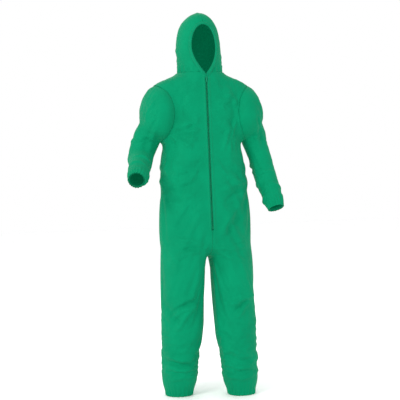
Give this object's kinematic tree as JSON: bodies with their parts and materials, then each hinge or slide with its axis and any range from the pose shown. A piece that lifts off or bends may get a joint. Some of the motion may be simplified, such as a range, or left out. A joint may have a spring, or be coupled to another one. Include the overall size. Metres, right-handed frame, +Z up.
{
  "type": "chemical protective suit",
  "caption": "Hooded one-piece protective coverall in green cloth, with elastic face opening, cuffs, waist and ankles and a straight front zip, shaped as worn.",
  "frame": {"origin": "middle of the neck seam, where the garment hangs on its wearer's shoulders and neck", "axes": "+Z up the body, front faces -Y, the wearer's right side is -X"},
  "size_m": [0.7563, 0.3662, 1.78],
  "materials": {
    "fabric": "matte nonwoven cloth",
    "elastic": "cloth gathered over elastic",
    "zip_tape": "woven tape",
    "zip_coil": "moulded nylon coil",
    "zip_hardware": "satin painted die casting"
  },
  "bodies": {
    "suit": {"right_front_panel": "fabric", "left_front_panel": "fabric", "right_back_panel": "fabric", "left_back_panel": "fabric", "waist_elastic": "elastic", "right_ankle_elastic": "elastic", "left_ankle_elastic": "elastic", "zip_tape_right": "zip_tape", "zip_tape_left": "zip_tape", "zip_coil_right": "zip_coil", "zip_coil_left": "zip_coil", "zip_top_stop_right": "zip_hardware", "zip_top_stop_left": "zip_hardware", "zip_bottom_stop": "zip_hardware"},
    "hood": {"hood_right_panel": "fabric", "hood_left_panel": "fabric", "hood_face_elastic": "elastic"},
    "right_arm": {"right_sleeve": "fabric", "right_sleeve_extension": "fabric", "right_cuff_elastic": "elastic"},
    "left_arm": {"left_sleeve": "fabric", "left_sleeve_extension": "fabric", "left_cuff_elastic": "elastic"},
    "slider": {"zip_slider": "zip_hardware"},
    "pull": {"zip_pull": "zip_hardware"}
  },
  "joints": [
    {"name": "hood_fold", "type": "hinge", "parent": "suit", "child": "hood", "pos_m": [0, 0.12, 0], "axis": [-1, 0, 0], "range_deg": [0, 60]},
    {"name": "right_arm_swing", "type": "hinge", "parent": "suit", "child": "right_arm", "pos_m": [-0.205, 0.006, -0.185], "axis": [-1, 0, 0], "range_deg": [-30, 70]},
    {"name": "left_arm_swing", "type": "hinge", "parent": "suit", "child": "left_arm", "pos_m": [0.205, 0.006, -0.185], "axis": [-1, 0, 0], "range_deg": [-30, 70]},
    {"name": "zip_slide", "type": "slide", "parent": "suit", "child": "slider", "axis": [0, -0.0594, -0.9982], "range_m": [0, 0.689]},
    {"name": "pull_swing", "type": "hinge", "parent": "slider", "child": "pull", "pos_m": [0, -0.10219, -0.0224], "axis": [-1, 0, 0], "range_deg": [0, 150]}
  ]
}
